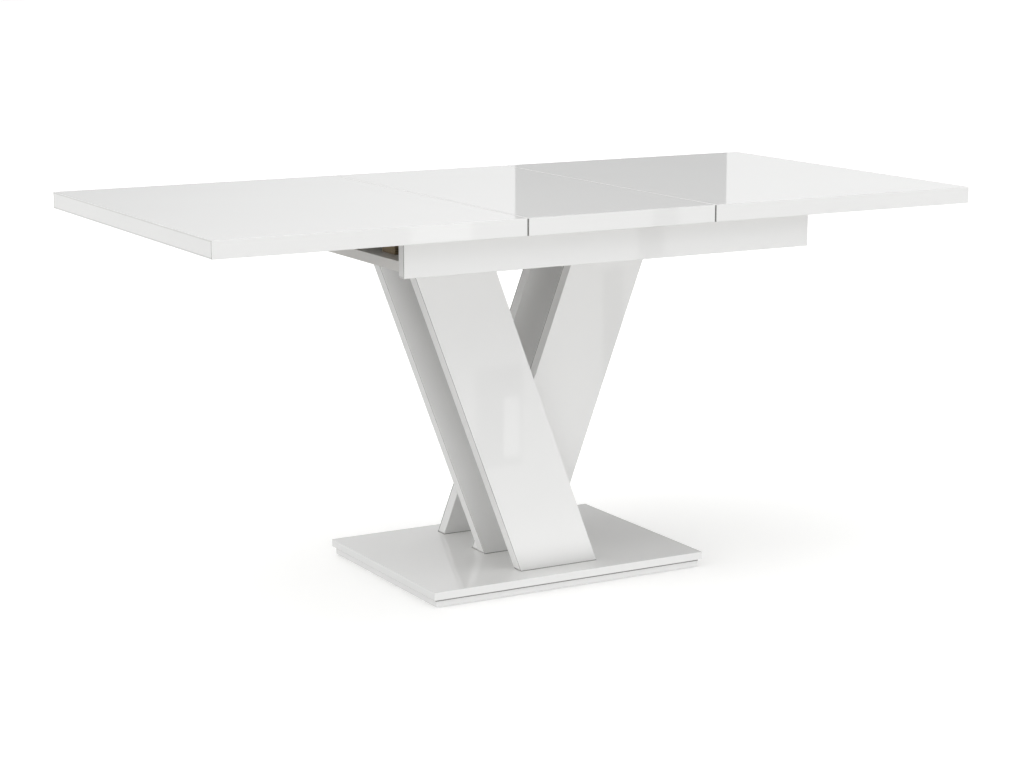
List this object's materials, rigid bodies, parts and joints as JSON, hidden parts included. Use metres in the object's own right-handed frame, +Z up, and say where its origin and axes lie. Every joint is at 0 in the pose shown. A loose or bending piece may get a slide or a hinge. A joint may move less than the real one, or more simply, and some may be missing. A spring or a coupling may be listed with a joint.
{
  "type": "extendable dining table",
  "caption": "Rectangular extendable dining table: sliding top halves, a loose middle leaf, a box frame that stores it, slanted board legs and a stepped base plate.",
  "frame": {"origin": "on the floor, under the middle of the table, which is the middle of the base plate", "axes": "+X along the extended top's length, +Y across its width to the rear, +Z up; the two boards of the -Y side lean to -X"},
  "size_m": [1.6, 0.8, 0.75],
  "materials": {
    "gloss_white_lacquer": "high-gloss white lacquer on 15 to 32 mm board",
    "melamine_panel": "satin white melamine-faced board",
    "pine_batten": "planed bare pine",
    "beech_dowel": "bare beech",
    "zinc_plated_steel": "bright zinc plate",
    "nylon_glide": "moulded natural nylon"
  },
  "bodies": {
    "frame": {"base_lower_board": "gloss_white_lacquer", "base_upper_board": "gloss_white_lacquer", "floor_glide_front_left": "nylon_glide", "floor_glide_front_right": "nylon_glide", "floor_glide_rear_left": "nylon_glide", "floor_glide_rear_right": "nylon_glide", "frame_floor_panel": "melamine_panel", "front_apron": "gloss_white_lacquer", "front_left_bracket": "zinc_plated_steel", "front_right_bracket": "zinc_plated_steel", "front_slide_batten": "pine_batten", "left_front_fixed_rail": "zinc_plated_steel", "left_rear_fixed_rail": "zinc_plated_steel", "leg_front_inner": "gloss_white_lacquer", "leg_front_inner_foot_screw_1": "zinc_plated_steel", "leg_front_inner_foot_screw_2": "zinc_plated_steel", "leg_front_inner_head_screw_1": "zinc_plated_steel", "leg_front_inner_head_screw_2": "zinc_plated_steel", "leg_front_outer": "gloss_white_lacquer", "leg_front_outer_foot_screw_1": "zinc_plated_steel", "leg_front_outer_foot_screw_2": "zinc_plated_steel", "leg_front_outer_head_screw_1": "zinc_plated_steel", "leg_front_outer_head_screw_2": "zinc_plated_steel", "leg_rear_inner": "gloss_white_lacquer", "leg_rear_inner_foot_screw_1": "zinc_plated_steel", "leg_rear_inner_foot_screw_2": "zinc_plated_steel", "leg_rear_inner_head_screw_1": "zinc_plated_steel", "leg_rear_inner_head_screw_2": "zinc_plated_steel", "leg_rear_outer": "gloss_white_lacquer", "leg_rear_outer_foot_screw_1": "zinc_plated_steel", "leg_rear_outer_foot_screw_2": "zinc_plated_steel", "leg_rear_outer_head_screw_1": "zinc_plated_steel", "leg_rear_outer_head_screw_2": "zinc_plated_steel", "rear_apron": "gloss_white_lacquer", "rear_left_bracket": "zinc_plated_steel", "rear_right_bracket": "zinc_plated_steel", "rear_slide_batten": "pine_batten", "right_front_fixed_rail": "zinc_plated_steel", "right_rear_fixed_rail": "zinc_plated_steel"},
    "leaf": {"leaf": "gloss_white_lacquer", "leaf_dowel_1": "beech_dowel", "leaf_dowel_2": "beech_dowel", "leaf_dowel_3": "beech_dowel"},
    "left_top": {"left_front_inner_rail": "zinc_plated_steel", "left_rear_inner_rail": "zinc_plated_steel", "left_top": "gloss_white_lacquer", "left_top_dowel_1": "beech_dowel", "left_top_dowel_2": "beech_dowel", "left_top_dowel_3": "beech_dowel"},
    "left_runner": {"left_front_middle_rail": "zinc_plated_steel", "left_rear_middle_rail": "zinc_plated_steel"},
    "right_top": {"right_front_inner_rail": "zinc_plated_steel", "right_rear_inner_rail": "zinc_plated_steel", "right_top": "gloss_white_lacquer"},
    "right_runner": {"right_front_middle_rail": "zinc_plated_steel", "right_rear_middle_rail": "zinc_plated_steel"}
  },
  "joints": [
    {"name": "left_runner_slide", "type": "slide", "parent": "frame", "child": "left_runner", "axis": [1, 0, 0], "range_m": [0, 0.2]},
    {"name": "right_runner_slide", "type": "slide", "parent": "frame", "child": "right_runner", "axis": [-1, 0, 0], "range_m": [0, 0.2]},
    {"name": "leaf_lift", "type": "slide", "parent": "frame", "child": "leaf", "axis": [0, 0, 1], "range_m": [0, 0.4]},
    {"name": "left_top_release", "type": "slide", "parent": "left_runner", "child": "left_top", "axis": [-1, 0, 0], "range_m": [0, 0.03]},
    {"name": "right_top_release", "type": "slide", "parent": "right_runner", "child": "right_top", "axis": [1, 0, 0], "range_m": [0, 0.03]}
  ],
  "couplings": [
    {"joint": "right_runner_slide", "follows": "left_runner_slide", "ratio": 1},
    {"joint": "leaf_lift", "follows": "left_runner_slide", "ratio": 2}
  ]
}
